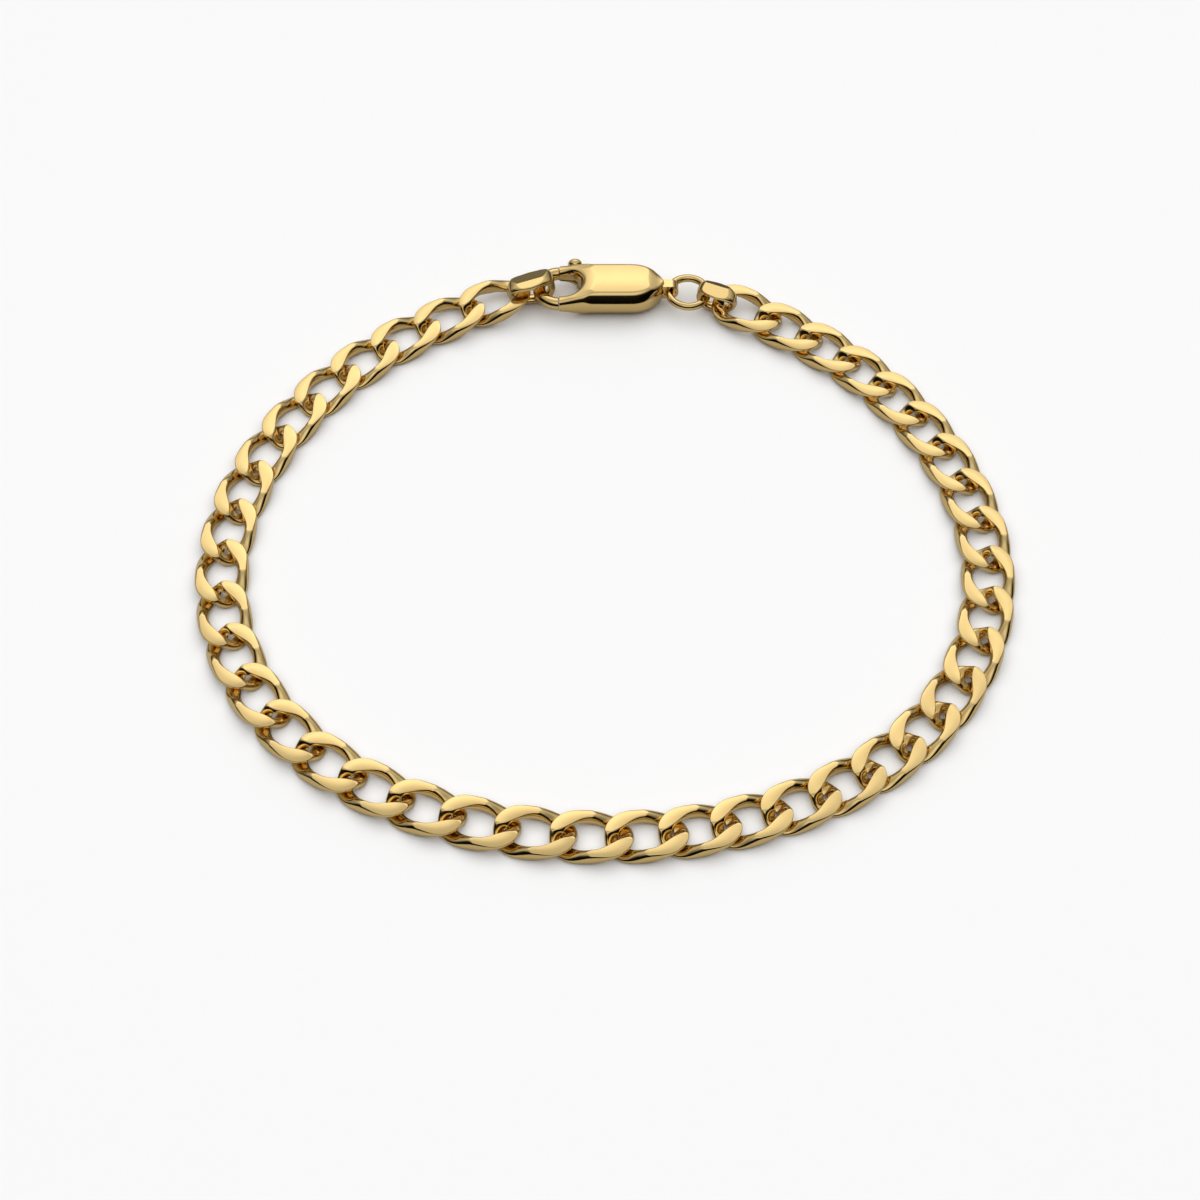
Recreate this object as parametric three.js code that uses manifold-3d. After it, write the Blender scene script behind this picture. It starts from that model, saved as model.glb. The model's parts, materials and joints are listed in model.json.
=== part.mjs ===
// Curb chain bracelet with a trigger clasp, lying closed on a table.
// Millimetres, +Z up. The clasp lies at +Y with its tail towards +X.
// The chain runs counter-clockwise, seen from above, from the claw to the tail.
import * as THREE from "three";
import { ParametricGeometry } from "three/addons/geometries/ParametricGeometry.js";
import { mergeVertices } from "three/addons/utils/BufferGeometryUtils.js";
import Module from "manifold-3d";

const wasm = await Module();
wasm.setup();

// ---------- curb links ----------
const LINK_COUNT = 40;
const LINK_LENGTH = 6.86;
const LINK_WIDTH = 4.66;
const LINK_THICKNESS = 1.3;
// breadth of the wire seen from above, on the sides and at the ends
const LINK_WIRE = 1;
// slack between the wires of two neighbours pulled straight
const LINK_PLAY = 0.4;
// height between two wires where one lies over the other
const CROSSING_GAP = 0.24;
// extra breadth of the wire on the four shoulders
const SHOULDER_EXTRA = 0.3;
// the flat faces' breadth, as a part of the wire's breadth
const FLAT_SHARE = 0.72;
// where the upper face is fully down, starts to rise and is level again, from the crossing,
// as parts of the turn that the neighbour's wire covers there
const DIP_LOW = -0.68;
const RISE_START = 0.66;
const RISE_END = 0.92;

const LINK_PITCH = LINK_LENGTH - 2 * LINK_WIRE - LINK_PLAY;
// the wire's centreline is an ellipse; neighbours cross at this turn from its end
const LINE_LENGTH = LINK_LENGTH - LINK_WIRE;
const LINE_WIDTH = LINK_WIDTH - LINK_WIRE;
const CROSSING = Math.acos(LINK_PITCH / LINE_LENGTH);
const CROSSING_RUN = (LINE_LENGTH * Math.sin(CROSSING)) / 2;
const CROSSING_CLIMB = (LINE_WIDTH * Math.cos(CROSSING)) / 2;
const COVERED_LENGTH = (LINK_WIRE * CROSSING_RUN) / CROSSING_CLIMB;
const COVER = COVERED_LENGTH / Math.hypot(CROSSING_RUN, CROSSING_CLIMB);
const LOW_TURN = CROSSING + DIP_LOW * COVER;

// ---------- clasp ----------
const CASING_LENGTH = 9.75;
const CASING_WIDTH = 5;
const CASING_HEIGHT = 3.2;
const CASING_EDGE = 0.75;
const CASING_WALL = 0.55;
const TAIL_CORNER = 1.6;
// seen from the side, the arms swell from this height at the seam to the full height
const ARM_HEIGHT = 1.44;
const ARM_SWELL = 3.2;
const CLAW_WIRE = 1.2;
const HOLLOW_DEPTH = 2;
const SEAM_GAP = 0.1;
const SLOT_GAP = 0.08;
const PIN_RADIUS = 0.28;
const PIN_FIT = 0.04;
const PIN_SETBACK = 1.9;
// the pivot lies this far inside the bow's line
const PIN_INSET = 0.2;
const BOSS_RADIUS = 0.62;
const TONGUE_WIDTH = 0.9;
const TONGUE_TOP = 0.1;
const TONGUE_BOTTOM = -0.38;
const KNOB_RADIUS = 0.62;
const KNOB_SETBACK = 1.45;
const KNOB_NECK = 0.26;
const SPRING_WIRE = 0.16;
const SPRING_TURNS = 1.5;
const SPRING_LEG = 0.9;

// ---------- tail eye, jump ring and the two upright links ----------
const TAB_WIDTH = 1;
const TAB_HEIGHT = 1.6;
const RING_OUTER = 4.3;
const RING_WIRE = 0.72;
const RING_PLAY = 0.2;
const CONNECTOR_BAR = 0.65;
const CONNECTOR_SLACK = 0.15;
// room between the bow and the upright link's end, over what the bow's curve takes
const BOW_PLAY = 0.26;
// room between an upright link's bar and the rounded end of the curb link it passes through
const LINK_SEAT = 0.65;
const CLAW_CONNECTOR_HEIGHT = 3.5;
const CLAW_CONNECTOR_WIDTH = 1.4;
const TAIL_CONNECTOR_HEIGHT = 3.1;
const TAIL_CONNECTOR_WIDTH = 1.2;
const CONNECTOR_FACET = 0.1;
// an upright link's wire is this many times broader than its faces before they are cut flat
const CONNECTOR_CROWN = 1.15;
const TAIL_CONNECTOR_SLACK = 0.3;

// ---------- how the chain lies ----------
// half of the loop's depth, and how far its sides bulge towards the clasp
const LAY_HALF_DEPTH = 29.6;
const LAY_BULGE = 1.2;
// each link on the claw's arm is drawn out this far, each on the tail's arm is let in
const ARM_SLACK = 0.15;
// how high the joint next to each upright link is carried above the flat lay
const CLAW_LIFT = 0.85;
const TAIL_LIFT = 0.62;
// each next joint is carried this many times less high, over this many joints
const LIFT_FALL = 3;
const LIFTED_JOINTS = 5;

const GOLD = 0xd4ab4e;
const DARK_GOLD = 0x9a7430;
const STEEL = 0xb9b4a6;

// facets round a wire, and along a link, a bow and a small round hole or post
const WIRE_SIDES = 6;
const BOW_SIDES = 8;
const LINK_STEPS = 20;
const BOW_STEPS = 28;
const ARC_STEPS = 5;
const HOLE_SIDES = 12;
const SPRING_STEPS = 30;
const MERGE_DISTANCE = 1e-4;
const ROOT_PASSES = 60;

const MID_HEIGHT = CASING_HEIGHT / 2;
const CLAW_RADIUS = CLAW_WIRE / 2;
const BOW_RADIUS = CASING_WIDTH / 2 - CLAW_RADIUS;
const HOLLOW_HALF = BOW_RADIUS - CLAW_RADIUS;
const ARM_LINE = BOW_RADIUS - PIN_INSET;
const EYE_X = CASING_LENGTH + RING_WIRE / 2 + RING_PLAY;
const EYE_RADIUS = RING_WIRE / 2 + RING_PLAY;
const RING_RADIUS = (RING_OUTER - RING_WIRE) / 2;

// ---------- helpers ----------
function solid(geometry) {
  const bare = new THREE.BufferGeometry();
  bare.setAttribute("position", geometry.getAttribute("position").clone());
  if (geometry.index) {
    bare.setIndex(geometry.index.clone());
  }
  const merged = mergeVertices(bare, MERGE_DISTANCE);
  const mesh = new wasm.Mesh({
    numProp: 3,
    vertProperties: new Float32Array(merged.getAttribute("position").array),
    triVerts: new Uint32Array(merged.index.array),
  });
  return new wasm.Manifold(mesh);
}

function surface(body) {
  const mesh = body.getMesh();
  const geometry = new THREE.BufferGeometry();
  const position = new THREE.BufferAttribute(new Float32Array(mesh.vertProperties), 3);
  geometry.setAttribute("position", position);
  geometry.setIndex(new THREE.BufferAttribute(new Uint32Array(mesh.triVerts), 1));
  geometry.computeVertexNormals();
  return geometry;
}

// a box between two corners
function block(low, high) {
  const size = new THREE.Vector3().subVectors(high, low);
  const centre = new THREE.Vector3().addVectors(low, high).multiplyScalar(0.5);
  const box = new THREE.BoxGeometry(size.x, size.y, size.z);
  return solid(box.translate(centre.x, centre.y, centre.z));
}

// an upright round bar between two heights
function post(x, y, low, high, radius) {
  const bar = new THREE.CylinderGeometry(radius, radius, high - low, HOLE_SIDES);
  bar.rotateX(Math.PI / 2);
  return solid(bar.translate(x, y, (low + high) / 2));
}

function plate(shape, low, high) {
  const slab = new THREE.ExtrudeGeometry(shape, {
    depth: high - low,
    bevelEnabled: false,
    curveSegments: ARC_STEPS,
  });
  return solid(slab.translate(0, 0, low));
}

function named(name, geometry, color, roughness) {
  const material = new THREE.MeshStandardMaterial({ color, roughness, metalness: 1 });
  const mesh = new THREE.Mesh(geometry, material);
  mesh.name = name;
  return mesh;
}

// ---------- one curb link, lengthwise on X, flat faces level ----------
// Its +Y side passes under the neighbour at +X and over the one at -X, its -Y side the
// other way, so the wire is thinned from above or from below where it passes.
function faceDip(degrees) {
  const turn = THREE.MathUtils.degToRad(degrees);
  const down = THREE.MathUtils.smoothstep(turn, -LOW_TURN, LOW_TURN);
  const past = (turn - CROSSING) / COVER;
  return down * (1 - THREE.MathUtils.smoothstep(past, RISE_START, RISE_END));
}

function curbSurface(across, along, target) {
  const turn = along * 2 * Math.PI;
  const fromEnd = THREE.MathUtils.radToDeg(turn);
  const folded = THREE.MathUtils.euclideanModulo(fromEnd + 90, 180) - 90;
  const depth = (LINK_THICKNESS + CROSSING_GAP) / 2;
  const top = LINK_THICKNESS / 2 - depth * faceDip(folded);
  const bottom = -LINK_THICKNESS / 2 + depth * faceDip(-folded);
  const shoulder = Math.sin(2 * turn) ** 2;
  const half = (LINK_WIRE + SHOULDER_EXTRA * shoulder) / 2;
  const round = -across * 2 * Math.PI;
  const flat = Math.cos(Math.PI / 3);
  const share = Math.abs(Math.cos(round)) ** (Math.log(FLAT_SHARE) / Math.log(flat));
  const out = half * Math.sign(Math.cos(round)) * share;
  const rise = THREE.MathUtils.clamp(Math.sin(round) / Math.sin(Math.PI / 3), -1, 1);
  const a = LINE_LENGTH / 2;
  const b = LINE_WIDTH / 2;
  const normal = new THREE.Vector2(b * Math.cos(turn), a * Math.sin(turn)).normalize();
  target.set(
    a * Math.cos(turn) + out * normal.x,
    b * Math.sin(turn) + out * normal.y,
    (top + bottom) / 2 + (rise * (top - bottom)) / 2,
  );
}

function curbLink() {
  return surface(solid(new ParametricGeometry(curbSurface, WIRE_SIDES, LINK_STEPS)));
}

// ---------- an upright oval link, lengthwise on X, standing on z = 0 ----------
class OvalCentreline extends THREE.Curve {
  constructor(length, height) {
    super();
    this.round = height / 2;
    this.straight = length - height;
  }

  getPoint(share, target = new THREE.Vector3()) {
    const arc = Math.PI * this.round;
    const whole = 2 * (arc + this.straight);
    const way = (((share % 1) + 1) % 1) * whole;
    const half = way % (whole / 2);
    const side = way < whole / 2 ? 1 : -1;
    if (half < arc) {
      const turn = half / this.round - Math.PI / 2;
      const x = this.straight / 2 + this.round * Math.cos(turn);
      return target.set(side * x, 0, side * this.round * Math.sin(turn));
    }
    return target.set(side * (this.straight / 2 - (half - arc)), 0, side * this.round);
  }
}

function uprightLink(hole, height, width) {
  const length = hole + CONNECTOR_BAR;
  const line = new OvalCentreline(length, height - CONNECTOR_BAR);
  const tube = new THREE.TubeGeometry(line, LINK_STEPS, CONNECTOR_BAR / 2, BOW_SIDES, true);
  tube.scale(1, (CONNECTOR_CROWN * width) / CONNECTOR_BAR, 1);
  const reach = new THREE.Vector3(length, width / 2, height / 2 - CONNECTOR_FACET / 2);
  const cut = solid(tube).intersect(block(reach.clone().negate(), reach));
  return surface(cut.translate([0, 0, height / 2 - CONNECTOR_FACET / 2]));
}

// ---------- the clasp, seam at x = 0, tail towards +X, resting on z = 0 ----------
function casingOutline(inset) {
  const left = inset;
  const right = CASING_LENGTH - inset;
  const side = CASING_WIDTH / 2 - inset;
  const corner = TAIL_CORNER;
  const outline = new THREE.Shape();
  outline.moveTo(left, -side);
  outline.lineTo(right - corner, -side);
  outline.quadraticCurveTo(right, -side, right, 0);
  outline.quadraticCurveTo(right, side, right - corner, side);
  outline.lineTo(left, side);
  outline.closePath();
  return outline;
}

function hollowOutline(inset) {
  const half = HOLLOW_HALF + inset;
  const end = HOLLOW_DEPTH - HOLLOW_HALF;
  const outline = new THREE.Shape();
  outline.moveTo(-HOLLOW_DEPTH, -half);
  outline.lineTo(end, -half);
  outline.absarc(end, 0, half, -Math.PI / 2, Math.PI / 2, false);
  outline.lineTo(-HOLLOW_DEPTH, half);
  outline.closePath();
  return outline;
}

function casing() {
  const shell = new THREE.ExtrudeGeometry(casingOutline(CASING_EDGE), {
    depth: CASING_HEIGHT - 2 * CASING_EDGE,
    bevelEnabled: true,
    bevelThickness: CASING_EDGE,
    bevelSize: CASING_EDGE,
    bevelSegments: 3,
    curveSegments: ARC_STEPS,
  });
  let body = solid(shell.translate(0, 0, CASING_EDGE));
  // the two arms end square at the seam
  const far = CASING_LENGTH + CASING_WIDTH;
  const front = new THREE.Vector3(0, -CASING_WIDTH, -CASING_HEIGHT);
  body = body.intersect(block(front, new THREE.Vector3(far, CASING_WIDTH, 2 * CASING_HEIGHT)));
  const swell = new THREE.Shape();
  swell.moveTo(0, -ARM_HEIGHT / 2);
  swell.lineTo(ARM_SWELL, -MID_HEIGHT);
  swell.lineTo(far, -MID_HEIGHT);
  swell.lineTo(far, MID_HEIGHT);
  swell.lineTo(ARM_SWELL, MID_HEIGHT);
  swell.lineTo(0, ARM_HEIGHT / 2);
  swell.closePath();
  const side = new THREE.ExtrudeGeometry(swell, { depth: 2 * CASING_WIDTH, bevelEnabled: false });
  side.rotateX(Math.PI / 2).translate(0, CASING_WIDTH, MID_HEIGHT);
  body = body.intersect(solid(side));
  // hollow stamped body
  const cavityStart = HOLLOW_DEPTH + CASING_WALL;
  const inside = casingOutline(CASING_EDGE + CASING_WALL / 2);
  const roomLow = new THREE.Vector3(cavityStart, -CASING_WIDTH, 0);
  const roomHigh = new THREE.Vector3(far, CASING_WIDTH, CASING_HEIGHT);
  const cavity = plate(inside, CASING_WALL, CASING_HEIGHT - CASING_WALL);
  body = body.subtract(cavity.intersect(block(roomLow, roomHigh)));
  // the hollow that takes the chain's end link
  body = body.subtract(plate(hollowOutline(0), -CASING_HEIGHT, 2 * CASING_HEIGHT));
  // slot along the far arm for the lever, higher round the pivot for the spring
  const slotEnd = PIN_SETBACK + BOSS_RADIUS + 2 * SLOT_GAP;
  const slotBottom = MID_HEIGHT + TONGUE_BOTTOM - SLOT_GAP;
  const slotLow = new THREE.Vector3(-CASING_WIDTH, 0, slotBottom);
  const slotHigh = new THREE.Vector3(slotEnd, CASING_WIDTH, MID_HEIGHT + TONGUE_TOP + SLOT_GAP);
  body = body.subtract(block(slotLow, slotHigh));
  const springTop = MID_HEIGHT + CLAW_RADIUS + SLOT_GAP;
  const roomStart = PIN_SETBACK - SPRING_LEG - 2 * SLOT_GAP;
  const nookLow = new THREE.Vector3(roomStart, 0, slotBottom);
  body = body.subtract(block(nookLow, new THREE.Vector3(slotEnd, CASING_WIDTH, springTop)));
  // opening from the slot into the hollow body
  const doorLow = new THREE.Vector3(PIN_SETBACK, HOLLOW_HALF, slotBottom);
  const doorHigh = new THREE.Vector3(cavityStart + CASING_WALL, ARM_LINE, springTop);
  body = body.subtract(block(doorLow, doorHigh));
  // rivet hole through the underside and a blind socket above
  const socket = CASING_HEIGHT - CASING_WALL;
  body = body.subtract(post(PIN_SETBACK, ARM_LINE, -1, socket, PIN_RADIUS + PIN_FIT));
  // tail tab with its eye
  const tabLow = new THREE.Vector3(
    CASING_LENGTH - CASING_EDGE,
    -TAB_WIDTH / 2,
    MID_HEIGHT - TAB_HEIGHT / 2,
  );
  const tabHigh = new THREE.Vector3(
    EYE_X + EYE_RADIUS + (TAB_HEIGHT / 2 - EYE_RADIUS),
    TAB_WIDTH / 2,
    MID_HEIGHT + TAB_HEIGHT / 2,
  );
  body = body.add(block(tabLow, tabHigh));
  const eye = new THREE.CylinderGeometry(EYE_RADIUS, EYE_RADIUS, CASING_WIDTH, HOLE_SIDES);
  return surface(body.subtract(solid(eye.translate(EYE_X, 0, MID_HEIGHT))));
}

function clawLever() {
  const ring = new THREE.TorusGeometry(BOW_RADIUS, CLAW_RADIUS, BOW_SIDES, BOW_STEPS);
  const reach = CASING_WIDTH;
  const low = new THREE.Vector3(-2 * reach, -reach, -reach);
  const high = new THREE.Vector3(-SEAM_GAP, reach, reach);
  let body = solid(ring).intersect(block(low, high));
  // tongue from the bow to the boss
  const half = TONGUE_WIDTH / 2;
  const tongue = new THREE.Shape();
  tongue.moveTo(-2 * SEAM_GAP, BOW_RADIUS - half);
  tongue.lineTo(PIN_SETBACK, ARM_LINE - half);
  tongue.lineTo(PIN_SETBACK, ARM_LINE + half);
  tongue.lineTo(-2 * SEAM_GAP, BOW_RADIUS + half);
  tongue.closePath();
  body = body.add(plate(tongue, TONGUE_BOTTOM, TONGUE_TOP));
  body = body.add(post(PIN_SETBACK, ARM_LINE, TONGUE_BOTTOM, TONGUE_TOP, BOSS_RADIUS));
  // thumb knob on its neck
  const knobLine = CASING_WIDTH / 2 + KNOB_RADIUS / 2;
  const neck = new THREE.CylinderGeometry(KNOB_NECK, KNOB_NECK, knobLine - ARM_LINE, BOW_SIDES);
  neck.translate(KNOB_SETBACK, (knobLine + ARM_LINE) / 2, -KNOB_NECK / 2);
  body = body.add(solid(neck));
  const knob = new THREE.SphereGeometry(KNOB_RADIUS, HOLE_SIDES, BOW_SIDES);
  body = body.add(solid(knob.translate(KNOB_SETBACK, knobLine, 0)));
  const bore = post(PIN_SETBACK, ARM_LINE, -CASING_HEIGHT, CASING_HEIGHT, PIN_RADIUS + 2 * PIN_FIT);
  return surface(body.subtract(bore).translate([0, 0, MID_HEIGHT]));
}

function leverPin() {
  const top = CASING_HEIGHT - CASING_WALL - PIN_FIT;
  return surface(post(PIN_SETBACK, ARM_LINE, PIN_FIT, top, PIN_RADIUS));
}

// torsion spring round the pin, above the boss
class SpringLine extends THREE.Curve {
  getPoint(share, target = new THREE.Vector3()) {
    const radius = PIN_RADIUS + SPRING_WIRE;
    const low = TONGUE_TOP + SPRING_WIRE;
    const high = CLAW_RADIUS - SPRING_WIRE / 2;
    const coil = 2 * Math.PI * SPRING_TURNS * radius;
    const whole = coil + 2 * SPRING_LEG;
    const way = share * whole;
    const turned = Math.min(Math.max(way - SPRING_LEG, 0), coil) / radius;
    const before = Math.max(SPRING_LEG - way, 0);
    const after = Math.max(way - SPRING_LEG - coil, 0);
    const angle = Math.PI / 2 - turned;
    return target.set(
      PIN_SETBACK + radius * Math.cos(angle) - before + after * Math.sin(angle),
      ARM_LINE + radius * Math.sin(angle) - after * Math.cos(angle),
      MID_HEIGHT + low + ((high - low) * turned * radius) / coil,
    );
  }
}

function leverSpring() {
  const section = new THREE.Shape();
  section.absarc(0, 0, SPRING_WIRE / 2, 0, 2 * Math.PI, false);
  const wire = new THREE.ExtrudeGeometry(section, {
    steps: SPRING_STEPS,
    curveSegments: ARC_STEPS,
    bevelEnabled: false,
    extrudePath: new SpringLine(),
  });
  return surface(solid(wire));
}

// ---------- the closed lay ----------
// Joint centres lie on an egg-shaped line; its half width is found so that the chain closes.
const BOW_TO_EYE = EYE_X + BOW_RADIUS;
const CLAW_CONNECTOR_SPAN = LINK_WIRE + LINK_PLAY / 2 + CONNECTOR_SLACK + CLAW_RADIUS;
const TAIL_CONNECTOR_SPAN =
  LINK_WIRE + LINK_PLAY / 2 + TAIL_CONNECTOR_SLACK + RING_WIRE / 2;
const SPANS = [CLAW_CONNECTOR_SPAN];
for (let count = 0; count < LINK_COUNT; count += 1) {
  SPANS.push(LINK_PITCH + (count < LINK_COUNT / 2 ? ARM_SLACK : -ARM_SLACK));
}
SPANS.push(TAIL_CONNECTOR_SPAN, 2 * RING_RADIUS);

function layPoint(angle, halfWidth) {
  return new THREE.Vector3(
    halfWidth * Math.cos(angle),
    LAY_HALF_DEPTH * Math.sin(angle) - LAY_BULGE * Math.cos(2 * angle),
    0,
  );
}

function rootBetween(low, high, value) {
  let bottom = low;
  let top = high;
  for (let pass = 0; pass < ROOT_PASSES; pass += 1) {
    const middle = (bottom + top) / 2;
    if (value(middle) < 0) {
      bottom = middle;
    } else {
      top = middle;
    }
  }
  return (bottom + top) / 2;
}

function layAngles(halfWidth) {
  const halfClasp = rootBetween(0, 1, (half) => {
    const start = layPoint(Math.PI / 2 + half, halfWidth);
    return start.distanceTo(layPoint(Math.PI / 2 - half, halfWidth)) - BOW_TO_EYE;
  });
  const angles = [Math.PI / 2 + halfClasp];
  for (const span of SPANS) {
    const from = angles[angles.length - 1];
    const here = layPoint(from, halfWidth);
    const turn = rootBetween(0, 1, (step) => {
      return layPoint(from + step, halfWidth).distanceTo(here) - span;
    });
    angles.push(from + turn);
  }
  return { angles, left: (5 * Math.PI) / 2 - halfClasp - angles[angles.length - 1] };
}

const chainLength = SPANS.reduce((sum, span) => sum + span, BOW_TO_EYE);
const HALF_WIDTH = rootBetween(chainLength / 16, chainLength / 3, (half) => layAngles(half).left);
const joints = layAngles(HALF_WIDTH).angles.map((angle) => layPoint(angle, HALF_WIDTH));
for (const joint of joints) {
  joint.z = LINK_THICKNESS / 2;
}
const LAST = joints.length - 1;
joints[0].z = MID_HEIGHT;
joints[LAST].z = MID_HEIGHT;
joints[LAST - 1].z = TAIL_CONNECTOR_HEIGHT / 2;
for (let count = 0; count < LIFTED_JOINTS; count += 1) {
  joints[1 + count].z += CLAW_LIFT / LIFT_FALL ** count;
  joints[LAST - 2 - count].z += TAIL_LIFT / LIFT_FALL ** count;
}

// sets a piece lengthwise between two joints, its +Y side towards the inside of the loop
function layBetween(mesh, from, to, centre) {
  const along = new THREE.Vector3().subVectors(to, from).normalize();
  const inward = new THREE.Vector3(-along.y, along.x, 0).normalize();
  const up = new THREE.Vector3().crossVectors(along, inward);
  const frame = new THREE.Matrix4().makeBasis(along, inward, up);
  mesh.quaternion.setFromRotationMatrix(frame);
  mesh.position.copy(centre);
  return mesh;
}

const bracelet = new THREE.Group();
bracelet.name = "curb_chain_bracelet";

// clasp pieces share one frame whose X axis runs from the bow to the tail eye
const clasp = new THREE.Group();
clasp.name = "clasp";
clasp.add(named("clasp_casing", casing(), GOLD, 0.18));
clasp.add(named("claw_lever", clawLever(), GOLD, 0.18));
clasp.add(named("lever_pin", leverPin(), DARK_GOLD, 0.3));
clasp.add(named("lever_spring", leverSpring(), STEEL, 0.35));
clasp.position.set(joints[0].x + BOW_RADIUS, joints[0].y, 0);
bracelet.add(clasp);

const BOW_CURVE = (CLAW_CONNECTOR_WIDTH / 2) ** 2 / (2 * HOLLOW_HALF);
const CLAW_HOLE = LINK_SEAT + CLAW_CONNECTOR_SPAN + CLAW_RADIUS + BOW_CURVE + BOW_PLAY;
const clawConnector = named(
  "claw_connector",
  uprightLink(CLAW_HOLE, CLAW_CONNECTOR_HEIGHT, CLAW_CONNECTOR_WIDTH),
  GOLD,
  0.2,
);
const level = (point) => new THREE.Vector3(point.x, point.y, 0);
const clawSide = new THREE.Vector3().subVectors(level(joints[0]), level(joints[1])).normalize();
const clawMiddle = level(joints[1]).addScaledVector(clawSide, CLAW_HOLE / 2 - LINK_SEAT);
bracelet.add(layBetween(clawConnector, level(joints[0]), level(joints[1]), clawMiddle));

const linkShape = curbLink();
for (let number = 1; number <= LINK_COUNT; number += 1) {
  const name = `curb_link_${String(number).padStart(2, "0")}`;
  const from = joints[number];
  const to = joints[number + 1];
  const centre = new THREE.Vector3().addVectors(from, to).multiplyScalar(0.5);
  bracelet.add(layBetween(named(name, linkShape, GOLD, 0.2), from, to, centre));
}

const TAIL_HOLE = LINK_SEAT + TAIL_CONNECTOR_SPAN + RING_WIRE / 2 + RING_PLAY;
const tailConnector = named(
  "tail_connector",
  uprightLink(TAIL_HOLE, TAIL_CONNECTOR_HEIGHT, TAIL_CONNECTOR_WIDTH),
  GOLD,
  0.2,
);
const tailFrom = level(joints[LAST - 2]);
const tailTo = level(joints[LAST - 1]);
const tailSide = new THREE.Vector3().subVectors(tailTo, tailFrom).normalize();
const tailMiddle = tailFrom.clone().addScaledVector(tailSide, TAIL_HOLE / 2 - LINK_SEAT);
bracelet.add(layBetween(tailConnector, tailFrom, tailTo, tailMiddle));

const ringShape = new THREE.TorusGeometry(RING_RADIUS, RING_WIRE / 2, WIRE_SIDES, BOW_STEPS);
const tailRing = named("tail_ring", surface(solid(ringShape)), GOLD, 0.2);
const ringMiddle = new THREE.Vector3().addVectors(joints[LAST - 1], joints[LAST]);
bracelet.add(
  layBetween(tailRing, joints[LAST - 1], joints[LAST], ringMiddle.multiplyScalar(0.5)),
);

// the origin is the middle of the loop's outline, on the table
bracelet.updateMatrixWorld(true);
const bounds = new THREE.Box3().setFromObject(bracelet, true);
const middle = bounds.getCenter(new THREE.Vector3());
for (const piece of bracelet.children) {
  piece.position.sub(new THREE.Vector3(middle.x, middle.y, bounds.min.z));
}

export default bracelet;
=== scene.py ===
"""Curb chain bracelet with a trigger clasp, lying closed on a pale table.

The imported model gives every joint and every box. Lengths below are in millimetres.
"""

import json
import math

import bpy
import numpy as np
from mathutils import Matrix, Vector


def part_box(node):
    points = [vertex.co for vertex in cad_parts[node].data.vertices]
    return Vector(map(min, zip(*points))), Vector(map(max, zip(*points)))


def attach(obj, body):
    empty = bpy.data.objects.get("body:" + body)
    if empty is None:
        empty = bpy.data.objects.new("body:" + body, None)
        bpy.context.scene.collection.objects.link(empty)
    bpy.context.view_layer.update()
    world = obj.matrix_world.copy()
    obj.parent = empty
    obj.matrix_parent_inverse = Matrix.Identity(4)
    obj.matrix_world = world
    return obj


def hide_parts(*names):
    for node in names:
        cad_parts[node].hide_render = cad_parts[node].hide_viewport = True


MM = 0.001
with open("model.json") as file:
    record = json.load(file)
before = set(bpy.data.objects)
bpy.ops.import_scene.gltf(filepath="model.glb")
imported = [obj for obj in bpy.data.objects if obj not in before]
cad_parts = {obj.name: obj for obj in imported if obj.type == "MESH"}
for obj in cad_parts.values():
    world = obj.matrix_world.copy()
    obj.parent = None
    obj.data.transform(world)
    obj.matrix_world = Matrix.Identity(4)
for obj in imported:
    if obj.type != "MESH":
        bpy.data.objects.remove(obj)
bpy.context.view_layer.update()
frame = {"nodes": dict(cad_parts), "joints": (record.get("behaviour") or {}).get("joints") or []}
JOINTS = {joint["name"]: joint for joint in frame["joints"]}

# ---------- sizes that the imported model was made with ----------
LINK_COUNT = 40
LINK_LENGTH = 6.86
LINK_WIDTH = 4.66
LINK_THICKNESS = 1.3
LINK_WIRE = 1.0
SHOULDER_EXTRA = 0.3
CROSSING_GAP = 0.24
DIP_START = -17
DIP_LOW = 19
RISE_START = 46
RISE_END = 96

CASING_LENGTH = 9.75
CASING_WIDTH = 5.0
CASING_HEIGHT = 3.2
CLAW_WIRE = 1.2
HOLLOW_DEPTH = 2.0
PIN_SETBACK = 1.9
TAB_WIDTH = 1.0
TAB_HEIGHT = 1.6
RING_WIRE = 0.72
RING_PLAY = 0.2
KNOB_SETBACK = 1.45

BOW_RADIUS = (CASING_WIDTH - CLAW_WIRE) / 2
HOLLOW_HALF = BOW_RADIUS - CLAW_WIRE / 2
EYE_X = CASING_LENGTH + RING_WIRE / 2 + RING_PLAY
EYE_RADIUS = RING_WIRE / 2 + RING_PLAY


# ---------- helpers ----------
def joint_point(name):
    return np.array(JOINTS[name]["pos_m"]) / MM


def joint_axis(name):
    return np.array(JOINTS[name]["axis"])


def unit(vector):
    return vector / np.linalg.norm(vector)


def smoothstep(low, high, value):
    share = np.clip((value - low) / (high - low), 0, 1)
    return share * share * (3 - 2 * share)


def frame_between(start, end, centre):
    """Lengthwise from start to end, with +Y towards the inside of the loop."""
    along = unit(end - start)
    inward = unit(np.array([-along[1], along[0], 0.0]))
    up = np.cross(along, inward)
    matrix = Matrix.Identity(4)
    for row in range(3):
        matrix[row][0] = along[row]
        matrix[row][1] = inward[row]
        matrix[row][2] = up[row]
        matrix[row][3] = centre[row] * MM
    return matrix


def make_mesh(name, vertices, faces, marks=None, normals=None):
    mesh = bpy.data.meshes.new(name)
    mesh.from_pydata((vertices * MM).tolist(), [], faces.tolist())
    mesh.polygons.foreach_set("use_smooth", np.ones(len(mesh.polygons), bool))
    for key, values in (marks or {}).items():
        layer = mesh.attributes.new(key, "FLOAT", "POINT")
        layer.data.foreach_set("value", values.astype(np.float32))
    mesh.update()
    if normals is not None:
        mesh.normals_split_custom_set_from_vertices(normals.tolist())
    return mesh


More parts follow.
